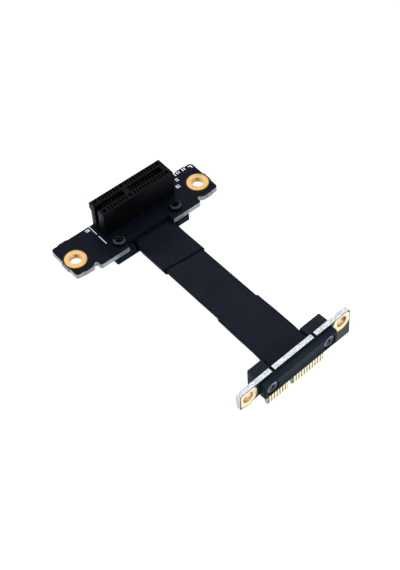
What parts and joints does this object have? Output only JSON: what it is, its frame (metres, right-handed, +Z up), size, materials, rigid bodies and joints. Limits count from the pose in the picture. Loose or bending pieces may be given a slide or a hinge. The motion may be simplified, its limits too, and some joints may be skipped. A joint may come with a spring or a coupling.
{
  "type": "pcie extension cable",
  "caption": "Short flat extension lead with a card-edge socket on a small drilled board at one end and an upright plug board with gold fingers at the other.",
  "frame": {"origin": "on the floor under the middle of the whole lead", "axes": "+Y along the lead from the plug towards the socket, +Z up out of the socket, +X along the socket"},
  "size_m": [0.051, 0.0796, 0.0138],
  "materials": {
    "socket_board": "satin",
    "board_copper": "satin",
    "socket_plastic": "satin",
    "contact_metal": "polished",
    "clamp_plastic": "matte",
    "screw_steel": "satin",
    "solder": "bright",
    "sleeve": "satin",
    "wire_jacket": "matte",
    "plug_board": "satin",
    "gold_fingers": "polished"
  },
  "bodies": {
    "root": {"slot_board": "socket_board", "slot_board_left_ring": "board_copper", "slot_board_right_ring": "board_copper", "slot_body": "socket_plastic", "slot_contacts_front": "contact_metal", "slot_contacts_rear": "contact_metal", "slot_clamp": "clamp_plastic", "slot_clamp_screw_left": "screw_steel", "slot_clamp_screw_right": "screw_steel", "slot_wire_joints": "solder", "upper_sleeve": "sleeve", "middle_sleeve": "sleeve", "lower_sleeve": "sleeve", "signal_ribbon": "wire_jacket", "power_ribbon": "wire_jacket", "plug_wire_joints": "solder", "plug_board": "plug_board", "plug_left_ring": "board_copper", "plug_right_ring": "board_copper", "plug_fingers_front": "gold_fingers", "plug_fingers_rear": "gold_fingers", "plug_front_clamp": "clamp_plastic", "plug_rear_clamp": "clamp_plastic", "plug_clamp_screw_left": "screw_steel", "plug_clamp_screw_right": "screw_steel"}
  },
  "joints": []
}
